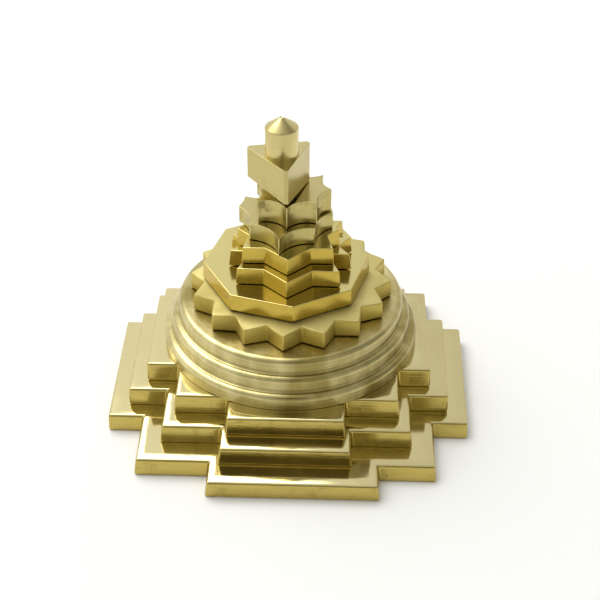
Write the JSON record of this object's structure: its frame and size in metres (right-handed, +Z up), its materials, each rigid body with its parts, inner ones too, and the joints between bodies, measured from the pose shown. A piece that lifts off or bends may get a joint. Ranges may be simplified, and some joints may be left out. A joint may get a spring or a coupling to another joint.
{
  "type": "meru shri yantra",
  "caption": "Stepped brass pyramid for worship: square tiers with gates, a turned ring, petal and star plates and a triangular prism stacked on a tie rod under a screwed-on bindu.",
  "frame": {"origin": "middle of the underside, on the surface it stands on", "axes": "+Z up towards the bindu, -Y the front, +X to the right seen from the front"},
  "size_m": [0.076, 0.074, 0.0655],
  "materials": {
    "cast_brass": "cast, milled and hand polished, with file marks on the risers",
    "turned_brass": "turned on a lathe, satin",
    "polished_brass": "sawn, filed and hand polished",
    "steel": "bright zinc plated"
  },
  "bodies": {
    "base": {"lower_tier": "cast_brass", "middle_tier": "cast_brass", "upper_tier": "cast_brass", "girdle_ring": "turned_brass", "tie_rod": "turned_brass", "rod_nut": "steel", "lock_washer": "steel", "flat_washer": "steel", "dowel_pins": "steel"},
    "sixteen_petals": {"sixteen_petal_plate": "polished_brass"},
    "eight_petals": {"eight_petal_plate": "polished_brass"},
    "first_star": {"first_star_plate": "polished_brass"},
    "second_star": {"second_star_plate": "polished_brass"},
    "third_star": {"third_star_plate": "polished_brass"},
    "fourth_star": {"fourth_star_plate": "polished_brass"},
    "trikona": {"trikona_prism": "polished_brass"},
    "washer": {"bindu_washer": "turned_brass"},
    "bindu": {"bindu_cap_nut": "turned_brass"}
  },
  "joints": [
    {"name": "sixteen_petals_turn", "type": "hinge", "parent": "base", "child": "sixteen_petals", "pos_m": [-0.0018, 0.0026, 0.0234], "axis": [0, 0, 1], "continuous": true},
    {"name": "eight_petals_turn", "type": "hinge", "parent": "base", "child": "eight_petals", "pos_m": [-0.0018, 0.0026, 0.0277], "axis": [0, 0, 1], "continuous": true},
    {"name": "first_star_turn", "type": "hinge", "parent": "base", "child": "first_star", "pos_m": [-0.0018, 0.0026, 0.0315], "axis": [0, 0, 1], "continuous": true},
    {"name": "second_star_turn", "type": "hinge", "parent": "base", "child": "second_star", "pos_m": [-0.0018, 0.0026, 0.0353], "axis": [0, 0, 1], "continuous": true},
    {"name": "third_star_turn", "type": "hinge", "parent": "base", "child": "third_star", "pos_m": [-0.0018, 0.0026, 0.0391], "axis": [0, 0, 1], "continuous": true},
    {"name": "fourth_star_turn", "type": "hinge", "parent": "base", "child": "fourth_star", "pos_m": [-0.0018, 0.0026, 0.043], "axis": [0, 0, 1], "continuous": true},
    {"name": "trikona_turn", "type": "hinge", "parent": "base", "child": "trikona", "pos_m": [-0.0018, 0.0026, 0.0482], "axis": [0, 0, 1], "continuous": true},
    {"name": "bindu_rise", "type": "slide", "parent": "base", "child": "washer", "axis": [0, 0, 1], "range_m": [0, 0.0045]},
    {"name": "bindu_turn", "type": "hinge", "parent": "washer", "child": "bindu", "pos_m": [-0.0018, 0.0026, 0.0574], "axis": [0, 0, 1], "range_deg": [0, 3240]}
  ],
  "couplings": [
    {"joint": "bindu_turn", "follows": "bindu_rise", "rad_per_m": 12566}
  ]
}
